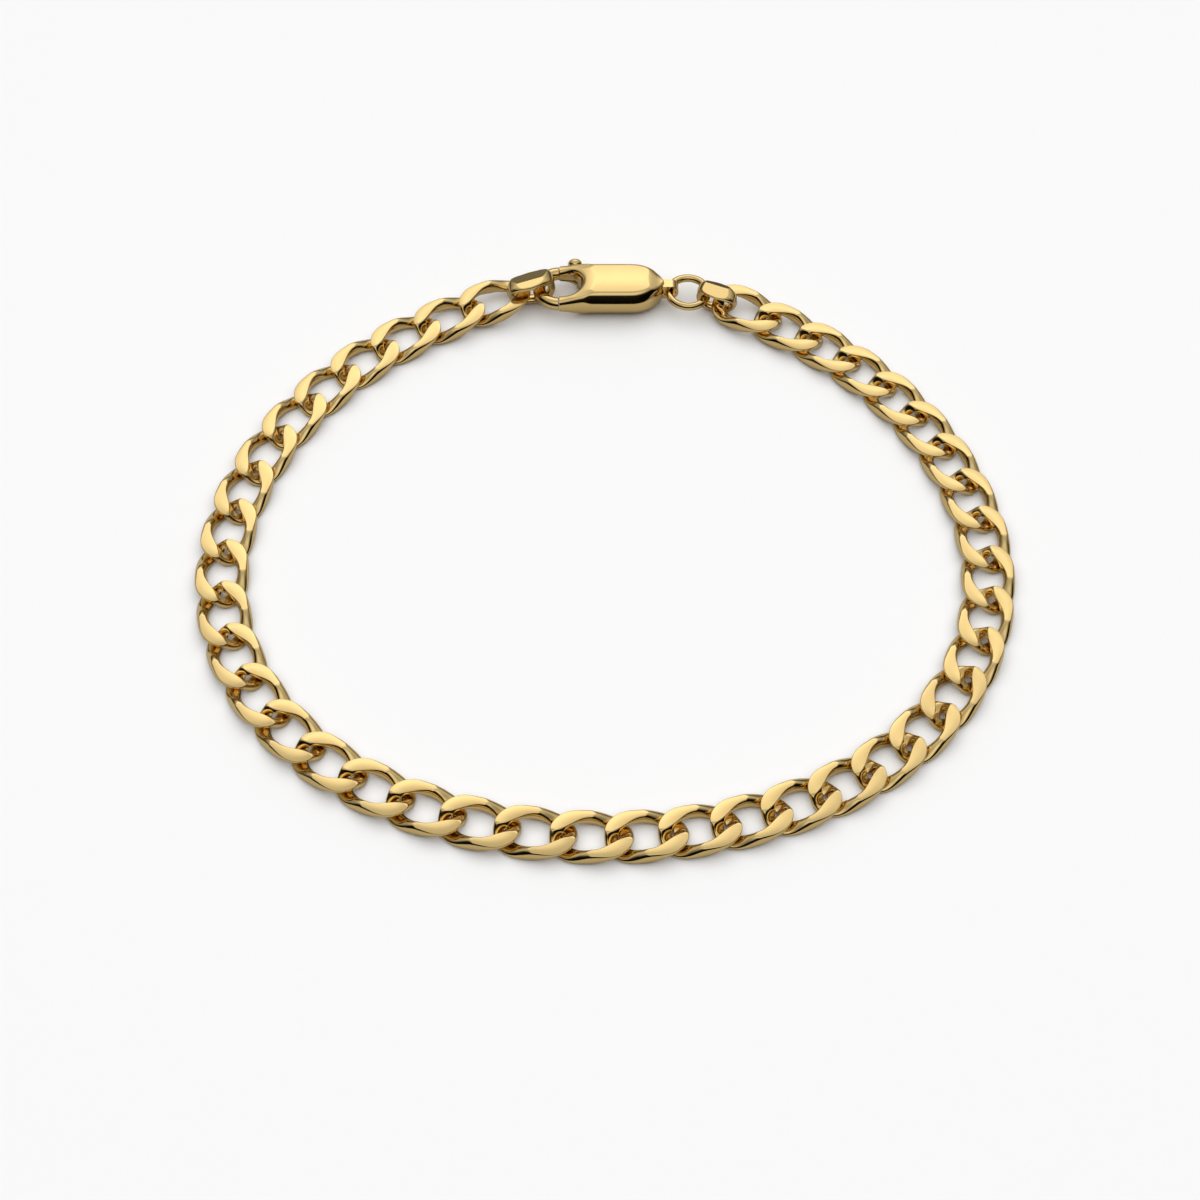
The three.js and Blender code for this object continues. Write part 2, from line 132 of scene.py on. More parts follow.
def place(name, mesh, matrix, body, node, material):
    piece = bpy.data.objects.new(name, mesh)
    bpy.context.scene.collection.objects.link(piece)
    piece.matrix_world = matrix
    if not mesh.materials:
        mesh.materials.append(material)
    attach(piece, body)
    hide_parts(node)
    return piece


# ---------- surfaces from a distance-like field ----------
def smooth_max(a, b, size):
    blend = np.clip(0.5 + (a - b) / (2 * size), 0, 1)
    return b + (a - b) * blend + size * blend * (1 - blend)


def smooth_min(a, b, size):
    return -smooth_max(-a, -b, size)


def box_field(x, y, z, low, high):
    return np.maximum.reduce(
        [low[0] - x, x - high[0], low[1] - y, y - high[1], low[2] - z, z - high[2]]
    )


def gradient(field, points, step=0.004):
    parts = []
    for axis in range(3):
        shift = np.zeros(3)
        shift[axis] = step
        ahead = field(*(points + shift).T)
        behind = field(*(points - shift).T)
        parts.append((ahead - behind) / (2 * step))
    return np.stack(parts, 1)


def surface_net(field, low, high, cell):
    """Quads round the zero of field, one vertex in each cell that it crosses."""
    axes = [np.arange(low[i], high[i] + cell, cell) for i in range(3)]
    grid = np.stack(np.meshgrid(*axes, indexing="ij"), -1)
    value = field(grid[..., 0], grid[..., 1], grid[..., 2])
    inside = value < 0
    counts = [n - 1 for n in value.shape]
    total = np.zeros((*counts, 3))
    hits = np.zeros(counts)
    corners = [(a, b, c) for a in (0, 1) for b in (0, 1) for c in (0, 1)]

    def corner(source, c):
        window = tuple(slice(c[i], c[i] + counts[i]) for i in range(3))
        return source[window]

    for c in corners:
        for axis in range(3):
            if c[axis]:
                continue
            d = tuple(1 if i == axis else c[i] for i in range(3))
            va, vb = corner(value, c), corner(value, d)
            cross = corner(inside, c) != corner(inside, d)
            share = np.where(cross, va / np.where(cross, va - vb, 1), 0)[..., None]
            point = corner(grid, c) * (1 - share) + corner(grid, d) * share
            total += np.where(cross[..., None], point, 0)
            hits += cross
    active = hits > 0
    index = np.full(counts, -1)
    index[active] = np.arange(active.sum())
    vertices = total[active] / hits[active][:, None]
    faces = []
    for axis in range(3):
        b, c = [i for i in range(3) if i != axis]
        first = [slice(None)] * 3
        second = [slice(None)] * 3
        first[axis] = slice(0, counts[axis])
        second[axis] = slice(1, counts[axis] + 1)
        start, end = inside[tuple(first)], inside[tuple(second)]
        cross = start != end
        inner = [slice(None)] * 3
        inner[b] = slice(1, counts[b])
        inner[c] = slice(1, counts[c])
        where = np.argwhere(cross[tuple(inner)])
        where[:, b] += 1
        where[:, c] += 1
        goes_in = end[tuple(where.T)]
        quad = []
        for db, dc in ((1, 1), (0, 1), (0, 0), (1, 0)):
            cell_at = where.copy()
            cell_at[:, b] -= db
            cell_at[:, c] -= dc
            quad.append(index[tuple(cell_at.T)])
        quad = np.stack(quad, 1)
        flip = goes_in if axis != 1 else ~goes_in
        quad[flip] = quad[flip][:, ::-1]
        faces.append(quad)
    for _ in range(4):
        slope = gradient(field, vertices)
        size = np.maximum((slope**2).sum(1, keepdims=True), 0.05)
        step = field(*vertices.T)[:, None] * slope / size
        vertices = vertices - np.clip(step, -cell / 3, cell / 3)
    slope = gradient(field, vertices)
    normals = slope / np.maximum(np.linalg.norm(slope, axis=1, keepdims=True), 1e-9)
    return vertices, np.concatenate(faces), normals


# ---------- one curb link ----------
STATIONS = 100
ARC_POINTS = 7
FLAT_POINTS = 4
SECTION_STEPS = 1441
EDGE_STRIP = 0.035
EDGE_STRIP_SHARE = 0.3
LEAST_HALF_FLAT = math.radians(1.5)
FLAT_TOLERANCE = 0.03
# what is filed away above the wire, and more of it at the shoulders
FILED = 0.1
SHOULDER_FILED = 0.2
# the crown leans outwards on the long sides, and the ends are wider inwards
CROWN_LEAN = 0.3
END_INWARD = 0.1
# the filed faces are a little domed, highest near the inner edge
DOME = 0.05
DOME_SIDE = -0.2


def face_dip(degrees):
    down = smoothstep(DIP_START, DIP_LOW, degrees)
    return down * (1 - smoothstep(RISE_START, RISE_END, degrees))


def curb_mesh():
    """Each station has a rounded section filed flat above and below."""
    turn = np.arange(STATIONS) * 2 * math.pi / STATIONS
    folded = np.mod(np.degrees(turn) + 90, 180) - 90
    half_thick = LINK_THICKNESS / 2
    depth = (LINK_THICKNESS + CROSSING_GAP) / 2
    dip, under_dip = face_dip(folded), face_dip(-folded)
    shoulder = np.sin(2 * turn) ** 2
    half = (LINK_WIRE + SHOULDER_EXTRA * shoulder) / 2
    inward = END_INWARD * smoothstep(0.3, 1, np.cos(2 * turn))
    inward = np.where(np.abs(folded) < 45, inward, 0)
    middle = depth * (under_dip - dip) / 2
    filed = FILED + SHOULDER_FILED * shoulder * (1 - dip)
    crown = half_thick + filed - (depth + filed) * dip
    rise = crown - middle
    lean = CROWN_LEAN * smoothstep(-40, -12, folded) * (1 - smoothstep(12, 34, folded))
    angle = np.radians(np.linspace(-90, 90, SECTION_STEPS))
    height = rise[:, None] * np.cos(angle) + lean[:, None] * np.sin(angle) * np.cos(angle)
    limit = half_thick - middle
    inner, outer = np.zeros(STATIONS), np.zeros(STATIONS)
    for s in range(STATIONS):
        over = np.flatnonzero(height[s] > limit[s])
        if len(over):
            inner[s], outer[s] = angle[over[0]], angle[over[-1]]
        else:
            inner[s] = outer[s] = angle[np.argmax(height[s])]
        if outer[s] - inner[s] < 2 * LEAST_HALF_FLAT:
            mid = (outer[s] + inner[s]) / 2
            inner[s], outer[s] = mid - LEAST_HALF_FLAT, mid + LEAST_HALF_FLAT
    share = np.linspace(0, 1, ARC_POINTS)
    quarter = math.pi / 2
    outs, tops, flats = [], [], []

    def add(a, flat):
        z = middle + rise * np.cos(a) + lean * np.sin(a) * np.cos(a)
        wide = np.where(a < 0, half + inward, half)
        outs.append(wide * np.sin(a))
        dome = DOME * (np.sin(a) - DOME_SIDE) ** 2
        tops.append(np.minimum(z, half_thick - dome))
        flats.append(np.full(STATIONS, float(flat)))

    for t in share:
        add(quarter + (outer - quarter) * t, 0)
    low_out, high_out = half * np.sin(inner), half * np.sin(outer)
    strip = np.minimum(EDGE_STRIP / np.maximum(high_out - low_out, 1e-6), EDGE_STRIP_SHARE)
    for t in (strip, 0.35, 0.65, 1 - strip):
        out = high_out + (low_out - high_out) * t
        add(np.arcsin(np.clip(out / half, -1, 1)), 1)
    for t in share:
        add(inner + (-quarter - inner) * t, 0)
    out_top = np.stack(outs, 1)
    z_top = np.stack(tops, 1)
    flat_top = np.stack(flats, 1) * (z_top > half_thick - FLAT_TOLERANCE)
    mirror = (-np.arange(STATIONS)) % STATIONS
    inside = slice(ARC_POINTS + FLAT_POINTS + ARC_POINTS - 2, 0, -1)
    out_ring = np.concatenate([out_top, out_top[mirror][:, inside]], 1)
    z_ring = np.concatenate([z_top, -z_top[mirror][:, inside]], 1)
    flat_ring = np.concatenate([flat_top, flat_top[mirror][:, inside]], 1)
    a = (LINK_LENGTH - LINK_WIRE) / 2
    b = (LINK_WIDTH - LINK_WIRE) / 2
    nx, ny = b * np.cos(turn), a * np.sin(turn)
    size = np.hypot(nx, ny)
    x = (a * np.cos(turn))[:, None] + out_ring * (nx / size)[:, None]
    y = (b * np.sin(turn))[:, None] + out_ring * (ny / size)[:, None]
    vertices = np.stack([x, y, z_ring], -1).reshape(-1, 3)
    ring = out_ring.shape[1]
    s, r = np.meshgrid(np.arange(STATIONS), np.arange(ring), indexing="ij")
    s2, r2 = (s + 1) % STATIONS, (r + 1) % ring
    faces = np.stack([s * ring + r, s * ring + r2, s2 * ring + r2, s2 * ring + r], -1)
    edge = np.zeros(ring)
    last = ARC_POINTS + FLAT_POINTS
    for at in (ARC_POINTS - 1, last):
        edge[at] = 1
    edges = np.tile(edge, (STATIONS, 1))
    marks = {"facet": flat_ring.reshape(-1), "edge": edges.reshape(-1)}
    return make_mesh("curb_link_mesh", vertices, faces.reshape(-1, 4)[:, ::-1], marks)


# ---------- materials ----------
def gold(name, satin, gloss, scratch, tint=(0.86, 0.64, 0.285), deep=(0.80, 0.55, 0.205)):
    """Polished gold. Filed facets are a little satin, the rest mirrors the room."""
    material = bpy.data.materials.new(name)
    material.use_nodes = True
    tree = material.node_tree
    tree.nodes.clear()
    output = tree.nodes.new("ShaderNodeOutputMaterial")
    shader = tree.nodes.new("ShaderNodeBsdfPrincipled")
    tree.links.new(shader.outputs["BSDF"], output.inputs["Surface"])
    shader.inputs["Metallic"].default_value = 1
    place_at = tree.nodes.new("ShaderNodeTexCoord")
    facet = tree.nodes.new("ShaderNodeAttribute")
    facet.attribute_name = "facet"
    edge = tree.nodes.new("ShaderNodeAttribute")
    edge.attribute_name = "edge"

    def noise(scale, detail, stretch=None):
        node = tree.nodes.new("ShaderNodeTexNoise")
        node.inputs["Scale"].default_value = scale
        node.inputs["Detail"].default_value = detail
        source = place_at.outputs["Object"]
        if stretch:
            mapping = tree.nodes.new("ShaderNodeMapping")
            mapping.inputs["Scale"].default_value = stretch
            mapping.inputs["Rotation"].default_value = (0, 0, 0.6)
            tree.links.new(source, mapping.inputs["Vector"])
            source = mapping.outputs["Vector"]
        tree.links.new(source, node.inputs["Vector"])
        return node

    def math_node(kind, a, b):
        node = tree.nodes.new("ShaderNodeMath")
        node.operation = kind
        for slot_at, value in enumerate((a, b)):
            if isinstance(value, (int, float)):
                node.inputs[slot_at].default_value = value
            else:
                tree.links.new(value, node.inputs[slot_at])
        return node.outputs[0]

    broad = noise(320, 3)
    fine = noise(2600, 4)
    streak = noise(900, 5, (1, 14, 1))
    mix = tree.nodes.new("ShaderNodeMix")
    mix.data_type = "RGBA"
    mix.inputs["A"].default_value = (*deep, 1)
    mix.inputs["B"].default_value = (*tint, 1)
    colour_share = math_node("ADD", math_node("MULTIPLY", broad.outputs["Fac"], 0.7), 0.25)
    # the facet edges are lighter gold: partly wear, partly a painted highlight line along each edge
    edge_wear_and_highlight = math_node("ADD", colour_share, math_node("MULTIPLY", edge.outputs["Fac"], 0.2))
    tree.links.new(edge_wear_and_highlight, mix.inputs["Factor"])
    tree.links.new(mix.outputs["Result"], shader.inputs["Base Color"])
    rough = math_node("MULTIPLY", facet.outputs["Fac"], satin - gloss)
    rough = math_node("ADD", rough, gloss)
    rough = math_node("ADD", rough, math_node("MULTIPLY", edge.outputs["Fac"], 0.08))
    vary = math_node("SUBTRACT", streak.outputs["Fac"], 0.5)
    rough = math_node("ADD", rough, math_node("MULTIPLY", vary, 0.10))
    rough = math_node("MAXIMUM", rough, 0.04)
    tree.links.new(rough, shader.inputs["Roughness"])
    relief = math_node("ADD", streak.outputs["Fac"], fine.outputs["Fac"])
    bump = tree.nodes.new("ShaderNodeBump")
    bump.inputs["Strength"].default_value = scratch
    bump.inputs["Distance"].default_value = 0.00001
    tree.links.new(relief, bump.inputs["Height"])
    tree.links.new(bump.outputs["Normal"], shader.inputs["Normal"])
    return material


CHAIN_GOLD = gold("chain_gold_finish", 0.17, 0.08, 0.16)
CLASP_GOLD = gold("clasp_gold_finish", 0.15, 0.09, 0.15)
PIN_GOLD = gold("pin_gold_finish", 0.3, 0.3, 0.4, (0.62, 0.44, 0.18), (0.5, 0.34, 0.13))
SPRING_STEEL = gold("spring_steel_finish", 0.3, 0.25, 0.3, (0.62, 0.61, 0.58), (0.45, 0.44, 0.42))

# ---------- the chain ----------
HALF_COUNT = LINK_COUNT // 2
pivots = {}
for number in range(1, HALF_COUNT + 1):
    pivots[number] = joint_point(f"curb_link_{number:02d}_hinge")
for number in range(HALF_COUNT + 1, LINK_COUNT + 1):
    pivots[number + 1] = joint_point(f"curb_link_{number:02d}_hinge")
# the opened pivot lies on every hinge's axis, so it is where two of them cross
near = pivots[HALF_COUNT]
near_axis = joint_axis(f"curb_link_{HALF_COUNT:02d}_hinge")
far_axis = joint_axis(f"curb_link_{HALF_COUNT // 2:02d}_hinge")
base = joint_point(f"curb_link_{HALF_COUNT // 2:02d}_hinge")
system = np.stack([near_axis, -far_axis], 1)
distances = np.linalg.lstsq(system, base - near, rcond=None)[0]
pivots[HALF_COUNT + 1] = near + near_axis * distances[0]

link_shape = curb_mesh()
# no two links lie quite alike
MOST_ROLL = 1.1
MOST_PITCH = 0.5
draw = np.random.RandomState(11)
for number in range(1, LINK_COUNT + 1):
    start, end = pivots[number], pivots[number + 1]
    matrix = frame_between(start, end, (start + end) / 2)
    roll = Matrix.Rotation(math.radians(draw.uniform(-MOST_ROLL, MOST_ROLL)), 4, "X")
    pitch = Matrix.Rotation(math.radians(draw.uniform(-MOST_PITCH, MOST_PITCH)), 4, "Y")
    node = f"curb_link_{number:02d}"
    place(
        f"link_{number:02d}", link_shape, matrix @ roll @ pitch,
        node, node, CHAIN_GOLD,
    )

# ---------- the clasp ----------
casing_low, casing_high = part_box("clasp_casing")
seam = np.array(
    [casing_low.x, (casing_low.y + casing_high.y) / 2, (casing_low.z + casing_high.z) / 2]
)
CLASP_FRAME = Matrix.Translation(Vector(seam))
FACET_START = 3.95
FACET_CAP = 1.52
FACET_DROP = 0.36
FACET_TOP = 0.965
FACET_DOME = 0.034
ARM_HALF = 0.63
NOSE_START = CASING_LENGTH - 3.3
NOSE_LENGTH = 3.35
NOSE_DROP = 0.28
# each flat slope down a side: its lean, and how far out it lies
UPPER_SLOPE = (0.53, 0.848, 2.13)
LOWER_SLOPE = (0.85, 0.527, 2.37)
SLOPE_FADE = 0.5
LIP_POWER = 2.2
# low and high corners of what is cut out for the claw
SLOT = ((-1, 0, -0.45), (1.7, 4, 0.2))
PIVOT_ROOM = ((0.9, 1.42, -0.45), (2.6, 2.28, 0.66))
ROOM_CORNER = ((1.75, 1.08, -0.45), (2.5, 2.28, 0.66))
KNOB_MOUTH = ((1.05, 1.6, -0.45), (2.45, 4, 0.3))
TAB_ROOT = CASING_LENGTH - 1.2
EYE_RIM = 0.28


def casing_field(x, y, z):
    side, up = np.abs(y), np.abs(z)
    half_high = CASING_HEIGHT / 2
    nose = np.clip((x - NOSE_START) / NOSE_LENGTH, 0, 1)
    wide = CASING_WIDTH / 2 * (1 - nose**2.4) ** 0.62
    swell = smoothstep(-0.9, 3.9, x)
    edge = np.minimum(0.6 + 0.85 * smoothstep(-0.5, 4.2, x), wide)
    past = np.clip(side - (wide - edge), 0, None) / np.maximum(edge, 0.05)
    high = ARM_HALF + (half_high - ARM_HALF) * swell
    high = high * (1 - NOSE_DROP * smoothstep(0.45, 1, nose))
    power = 2.3 + 0.2 * swell
    pill = ((past**power + (up / high) ** power) ** (1 / power) - 1) * 0.9
    pill = np.where(wide < 0.02, np.maximum(pill, 0.3), pill)
    # two long flat slopes down each side, fading out along the arms
    across = side + CASING_WIDTH / 2 - wide
    fade = SLOPE_FADE * (1 - smoothstep(0.4, 3.2, x))
    for (out_share, up_share, level), softness in ((UPPER_SLOPE, 0.06), (LOWER_SLOPE, 0.1)):
        flat = out_share * across + up_share * up - (level + fade)
        pill = smooth_max(pill, flat, softness)
    # the surface falls away from the flat facet, whose end towards the arms is round
    from_cap = np.hypot(np.clip(FACET_START - x, 0, None), side)
    away = np.clip(from_cap - FACET_CAP, 0, None)
    fall = FACET_DROP * away / (1 + 0.1 * away)
    slope = (up - (FACET_TOP * half_high - fall)) * 0.94
    slope = np.where(x > FACET_START, -1.0, slope)
    facet = up - FACET_TOP * half_high + FACET_DOME * side**2
    shape = smooth_max(np.maximum(pill, slope), facet, 0.02)
    # the hollow for the chain's end link
    end = HOLLOW_DEPTH - HOLLOW_HALF
    hollow = np.hypot(np.clip(x - end, 0, None), y) - HOLLOW_HALF
    # its lip is as round as the bow's wire
    lip = np.clip(CLAW_WIRE / 2 - hollow, 0, None) / (CLAW_WIRE / 2)
    lip = ((lip**LIP_POWER + (up / high) ** LIP_POWER) ** (1 / LIP_POWER) - 1) * 0.6
    shape = smooth_max(shape, lip, 0.1)
    shape = np.maximum(shape, -hollow)
    shape = np.maximum(shape, -x)
    # slot along the far arm, and the room round the pivot
    cuts = [box_field(x, y, z, *cut) for cut in (SLOT, PIVOT_ROOM, ROOM_CORNER, KNOB_MOUTH)]
    shape = np.maximum(shape, -np.minimum.reduce(cuts))
    # tail tab with its eye
    tab = box_field(
        x, y, z,
        (TAB_ROOT, -TAB_WIDTH / 2, -TAB_HEIGHT / 2),
        (EYE_X + EYE_RADIUS + EYE_RIM, TAB_WIDTH / 2, TAB_HEIGHT / 2),
    )
    crown = np.hypot(x - EYE_X, z) - (EYE_RADIUS + EYE_RIM)
    crown = np.where(x < EYE_X, -1.0, crown)
    tab = smooth_max(tab, crown, 0.05)
    eye = np.hypot(x - EYE_X, z) - EYE_RADIUS
    tab = smooth_max(tab, -eye, 0.06)
    return smooth_min(shape, tab, 0.06)


SEAM_HALF = 0.045
TONGUE_HALF = 0.42
TONGUE_START = -0.5
PLATE_LOW = 0.14
PLATE_HALF = 0.24
BOSS_RADIUS = 0.6
BORE_RADIUS = 0.36
NECK_RADIUS = 0.26
NECK_LOW = 0.12
NECK_END = 2.75
KNOB_RADIUS = 0.63
KNOB_SHAPE = (1.08, 0.82, 0.92)
KNOB_Y = CASING_WIDTH / 2 + 0.58
PIN_Y = joint_point("claw_lever_pivot")[1] - seam[1] / MM


def lever_field(x, y, z):
    around = np.hypot(x, y) - BOW_RADIUS
    bow = np.hypot(around, z) - CLAW_WIRE / 2
    bow = np.maximum(bow, x + SEAM_HALF)
    share = np.clip(x / PIN_SETBACK, 0, 1)
    line = BOW_RADIUS + (PIN_Y - BOW_RADIUS) * share
    plate = np.abs(z + PLATE_LOW) - PLATE_HALF
    tongue = np.maximum(np.abs(y - line) - TONGUE_HALF, plate)
    tongue = np.maximum.reduce([tongue, TONGUE_START - x, x - PIN_SETBACK])
    boss = np.maximum(np.hypot(x - PIN_SETBACK, y - PIN_Y) - BOSS_RADIUS, plate)
    neck = np.hypot(x - KNOB_SETBACK, z + NECK_LOW) - NECK_RADIUS
    neck = np.maximum(neck, np.maximum(PIN_Y - y, y - NECK_END))
    long, short, tall = KNOB_SHAPE
    ball = np.sqrt(((x - KNOB_SETBACK) / long) ** 2 + ((y - KNOB_Y) / short) ** 2 + (z / tall) ** 2)
    knob = (ball - KNOB_RADIUS) * short
    inner = np.minimum(np.minimum(tongue, boss), smooth_min(neck, knob, 0.15))
    bore = np.hypot(x - PIN_SETBACK, y - PIN_Y) - BORE_RADIUS
    return np.maximum(smooth_min(bow, inner, 0.05), -bore)


LEAF_STRETCH = 0.1
LEAF_POINT = 1.7
SOLE_CUT = 0.03


def connector_field(length, height, bar, width, waist, twist, sink, near_slope, far_slope, lean):
    """An upright oval link. Its upper bar is a leaf with a ridge, turned a little."""

    def field(x, y, z):
        round_half = (height - bar) / 2
        straight = (length - height) / 2
        x = x * (1 - LEAF_STRETCH * smoothstep(0.2, 0.9, z / round_half))
        dx = np.abs(x) - straight
        way = np.where(dx > 0, np.hypot(np.clip(dx, 0, None), z), np.abs(z))
        from_line = np.abs(way - round_half)
        share = np.clip(np.abs(x) / (length / 2 + LEAF_STRETCH), 0, 1)
        upper = smoothstep(-0.1, 0.9, z / round_half)
        across = y - twist * x * upper
        broad = waist + (width - waist) * upper * (1 - share**LEAF_POINT)
        power = 2 + 1.2 * upper
        tube = (from_line / (bar / 2)) ** power + (np.abs(across) / broad) ** power
        tube = (tube ** (1 / power) - 1) * bar / 2 * 0.85
        top = height / 2 - sink * (1 - x * np.sign(twist) / (length / 2)) / 2
        near = z - top + near_slope * np.clip(lean - across, 0, None)
        far = z - top + far_slope * np.clip(across - lean, 0, None)
        shape = smooth_max(tube, np.maximum(near, far) * 0.9, 0.02)
        return np.maximum(shape, -z - height / 2 + SOLE_CUT)

    return field


def net_piece(name, field, low, high, cell, matrix, body, node, material):
    vertices, faces, normals = surface_net(field, low, high, cell)
    mesh = make_mesh(name + "_mesh", vertices, faces, None, normals)
    return place(name, mesh, matrix, body, node, material)


CELL = 0.07
net_piece(
    "casing", casing_field, (-0.2, -2.7, -1.8), (11.3, 2.7, 1.8), CELL,
    CLASP_FRAME, "clasp", "clasp_casing", CLASP_GOLD,
)
net_piece(
    "lever", lever_field, (-2.7, -2.7, -0.8), (2.9, 3.6, 0.8), CELL,
    CLASP_FRAME, "claw_lever", "claw_lever", CLASP_GOLD,
)


def box_size(node):
    low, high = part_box(node)
    return (np.array(high) - np.array(low)) / MM, (np.array(high) + np.array(low)) / 2 / MM


def upright(name, node, start, end, bar, width, waist, roof):
    size, centre = box_size(node)
    along = unit((end - start) * np.array([1, 1, 0]))
    reach_x = abs(along[0])
    # the box's length along X is the link's own length turned, plus its width's share
    length = (size[0] - 2 * width * abs(along[1]) * 0.5) / reach_x
    matrix = frame_between(start * [1, 1, 0], end * [1, 1, 0], centre)
    field = connector_field(length, size[2], bar, width / 2, waist / 2, *roof)
    reach = np.array([length / 2 + 0.5, width / 2 + 0.7, size[2] / 2 + 0.2])
    net_piece(name, field, -reach, reach, CELL * 0.8, matrix, node, node, CHAIN_GOLD)


# twist, sink, slopes towards and away from the viewer's side, and where the ridge leans to
CLAW_ROOF = (0.22, 0.16, 0.05, 0.34, -0.3)
TAIL_ROOF = (-0.2, 0.2, 0.42, 0.1, -0.35)
upright(
    "claw_end_link", "claw_connector",
    pivots[1], joint_point("claw_connector_hinge"), 0.7, 2.5, 1.0, CLAW_ROOF,
)
upright(
    "tail_end_link", "tail_connector",
    pivots[LINK_COUNT + 1], joint_point("tail_connector_hinge"), 0.68, 2.0, 0.9, TAIL_ROOF,
)


RING_SEAM_AT = 4.1
RING_SEAM_WIDTH = 0.03
RING_SEAM_DEPTH = 0.025


def ring_mesh():
    """A jump ring of round wire with the fine line where its ends meet."""
    size, _ = box_size("tail_ring")
    radius = (max(size[0], size[1]) - RING_WIRE) / 2
    turns, rounds = 120, 20
    t = np.arange(turns) * 2 * math.pi / turns
    r = np.arange(rounds) * 2 * math.pi / rounds
    seam_dip = RING_SEAM_DEPTH * np.exp(-(((t - RING_SEAM_AT) / RING_SEAM_WIDTH) ** 2))
    wire = RING_WIRE / 2 - seam_dip
    out = radius + wire[:, None] * np.cos(r)
    z = wire[:, None] * np.sin(r)
    vertices = np.stack([out * np.cos(t)[:, None], out * np.sin(t)[:, None], z], -1)
    i, j = np.meshgrid(np.arange(turns), np.arange(rounds), indexing="ij")
    i2, j2 = (i + 1) % turns, (j + 1) % rounds
    faces = np.stack([i * rounds + j, i2 * rounds + j, i2 * rounds + j2, i * rounds + j2], -1)
    return make_mesh("tail_ring_mesh", vertices.reshape(-1, 3), faces.reshape(-1, 4))


ring_start, ring_end = joint_point("tail_connector_hinge"), joint_point("tail_ring_hinge")
place(
    "jump_ring", ring_mesh(), frame_between(ring_start, ring_end, (ring_start + ring_end) / 2),
    "tail_ring", "tail_ring", CHAIN_GOLD,
)

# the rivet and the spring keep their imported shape
for node, slot, material in (
    ("lever_pin", "pin_gold", PIN_GOLD),
    ("lever_spring", "spring_steel", SPRING_STEEL),
):
    kept = frame["nodes"][node]
    kept.material_slots[0].material = material

# ---------- table, light and camera ----------
TABLE_REACH = 0.9
TABLE_DROP = 0.00002
TABLE_TONE = (0.93, 0.93, 0.93, 1)
TABLE_TONE_REFLECTED = (0.52, 0.51, 0.49, 1)
floor_mesh = bpy.data.meshes.new("table_mesh")
table_corners = [
    (side_x * TABLE_REACH, side_y * TABLE_REACH, 0)
    for side_x, side_y in ((-1, -1), (1, -1), (1, 1), (-1, 1))
]
floor_mesh.from_pydata(table_corners, [], [(0, 1, 2, 3)])
table = bpy.data.objects.new("table", floor_mesh)
bpy.context.scene.collection.objects.link(table)
table.location.z = -TABLE_DROP
table_material = bpy.data.materials.new("table_finish")
table_material.use_nodes = True
table_shader = table_material.node_tree.nodes["Principled BSDF"]
# painted shade in reflections: glossy rays see the table at little more than half the tone of a
# direct view
table_tree = table_material.node_tree
seen = table_tree.nodes.new("ShaderNodeLightPath")
table_tone = table_tree.nodes.new("ShaderNodeMix")
table_tone.data_type = "RGBA"
table_tone.inputs["A"].default_value = TABLE_TONE
table_tone.inputs["B"].default_value = TABLE_TONE_REFLECTED
table_tree.links.new(seen.outputs["Is Glossy Ray"], table_tone.inputs["Factor"])
table_tree.links.new(table_tone.outputs["Result"], table_shader.inputs["Base Color"])
table_shader.inputs["Roughness"].default_value = 0.75
table_shader.inputs["Specular IOR Level"].default_value = 0.15
floor_mesh.materials.append(table_material)

world = bpy.data.worlds.new("studio")
bpy.context.scene.world = world
world.use_nodes = True
sky = world.node_tree
sky.nodes.clear()
sky_out = sky.nodes.new("ShaderNodeOutputWorld")
background = sky.nodes.new("ShaderNodeBackground")
sky.links.new(background.outputs[0], sky_out.inputs["Surface"])
direction = sky.nodes.new("ShaderNodeTexCoord")
split = sky.nodes.new("ShaderNodeSeparateXYZ")
sky.links.new(direction.outputs["Generated"], split.inputs[0])


def sky_ramp(stops):
    """Brightness against the sine of the height above the horizon."""
    ramp = sky.nodes.new("ShaderNodeValToRGB")
    ramp.color_ramp.interpolation = "EASE"
    elements = ramp.color_ramp.elements
    for at, (degrees, level) in enumerate(stops):
        element = elements[at] if at < 2 else elements.new(1)
        element.position = max(math.sin(math.radians(degrees)), 0)
        element.color = (level, level, level, 1)
    sky.links.new(split.outputs["Z"], ramp.inputs["Fac"])
    return ramp.outputs["Color"]


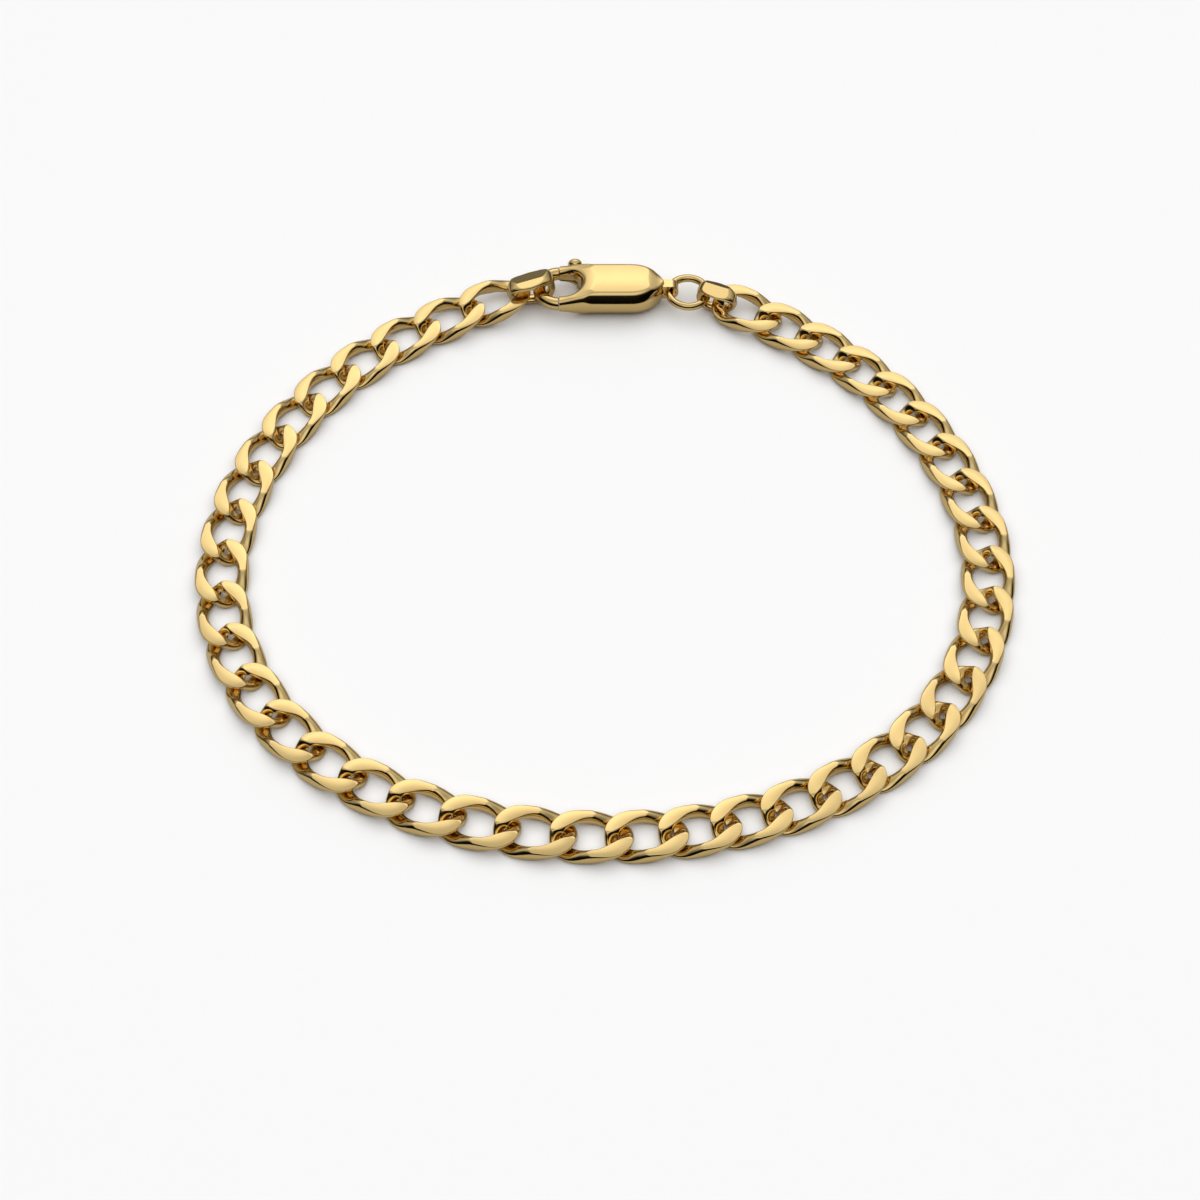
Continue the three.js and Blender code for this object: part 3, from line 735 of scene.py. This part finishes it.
# height in degrees and brightness, towards the loop's far side and towards its near side
FAR_SKY = [(0, 0.06), (8, 0.1), (22, 0.5), (38, 0.85), (48, 1.0), (58, 0.72), (72, 0.42), (90, 0.36)]
NEAR_SKY = [(0, 0.0), (36, 0.01), (47, 0.4), (60, 0.7), (90, 0.36)]
behind = sky_ramp(FAR_SKY)
before = sky_ramp(NEAR_SKY)
turned = sky.nodes.new("ShaderNodeMapRange")
turned.interpolation_type = "SMOOTHSTEP"
turned.inputs["From Min"].default_value = -0.2
turned.inputs["From Max"].default_value = 0.45
sky.links.new(split.outputs["Y"], turned.inputs["Value"])
blend = sky.nodes.new("ShaderNodeMix")
blend.data_type = "RGBA"
sky.links.new(turned.outputs["Result"], blend.inputs["Factor"])
sky.links.new(before, blend.inputs["A"])
sky.links.new(behind, blend.inputs["B"])
# darker to the left and to the right
sideways = sky.nodes.new("ShaderNodeMath")
sideways.operation = "ABSOLUTE"
sky.links.new(split.outputs["X"], sideways.inputs[0])
aside = sky.nodes.new("ShaderNodeMapRange")
aside.interpolation_type = "SMOOTHSTEP"
aside.inputs["From Min"].default_value = 0.1
aside.inputs["From Max"].default_value = 0.55
aside.inputs["To Min"].default_value = 1.5
aside.inputs["To Max"].default_value = 0.75
sky.links.new(sideways.outputs[0], aside.inputs["Value"])
sky.links.new(aside.outputs["Result"], background.inputs["Strength"])
sky.links.new(blend.outputs["Result"], background.inputs["Color"])


LAMP_HEIGHT = 0.7
LAMP_SIDE = 1.6
LAMP_POWER = 7.0
light = bpy.data.lights.new("overhead", "AREA")
light.shape = "RECTANGLE"
light.size = LAMP_SIDE
light.size_y = LAMP_SIDE
light.energy = LAMP_POWER
lamp = bpy.data.objects.new("overhead", light)
bpy.context.scene.collection.objects.link(lamp)
lamp_at = Vector((0, 0.02, LAMP_HEIGHT))
lamp.location = lamp_at
lamp.rotation_mode = "QUATERNION"
lamp.rotation_quaternion = (-lamp_at).to_track_quat("-Z", "Y")
# reflections don't see the lamp, only the sky
lamp.visible_glossy = False

ELEVATION = math.radians(54.64)
DISTANCE = 0.2142
AIM = Vector((-0.0004, -0.0065, 0.0009))
camera_data = bpy.data.cameras.new("camera")
camera_data.lens = 75
camera_data.sensor_width = 36
camera_data.clip_start = 0.01
camera_data.clip_end = 5
camera = bpy.data.objects.new("camera", camera_data)
bpy.context.scene.collection.objects.link(camera)
back = Vector((0, -math.cos(ELEVATION), math.sin(ELEVATION)))
camera.location = AIM + back * DISTANCE
camera.rotation_mode = "QUATERNION"
camera.rotation_quaternion = (-back).to_track_quat("-Z", "Y")
bpy.context.scene.camera = camera
bpy.context.scene.view_settings.view_transform = "Standard"
